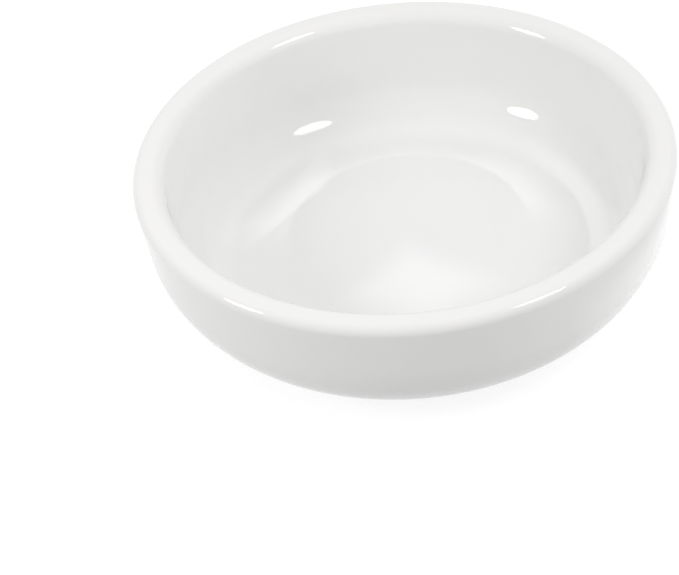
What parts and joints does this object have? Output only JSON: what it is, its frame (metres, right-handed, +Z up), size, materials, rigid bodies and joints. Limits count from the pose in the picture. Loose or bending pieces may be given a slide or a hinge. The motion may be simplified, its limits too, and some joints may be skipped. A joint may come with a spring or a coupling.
{
  "type": "soy sauce dish",
  "caption": "Small round dipping dish of white glazed ceramic, with a thick upright wall, a rounded lip, a barely dished floor and a bare foot ring.",
  "frame": {"origin": "centre of the foot ring's resting plane", "axes": "+Z up along the dish's axis of turning; X and Y lie on the table and are alike"},
  "size_m": [0.095, 0.095, 0.0276],
  "materials": {
    "fired_clay": "bare fired clay, dry and matt",
    "white_glaze": "high-gloss opaque white glaze"
  },
  "bodies": {
    "root": {"clay_body": "fired_clay", "glaze_coat": "white_glaze", "base_glaze": "white_glaze"}
  },
  "joints": []
}
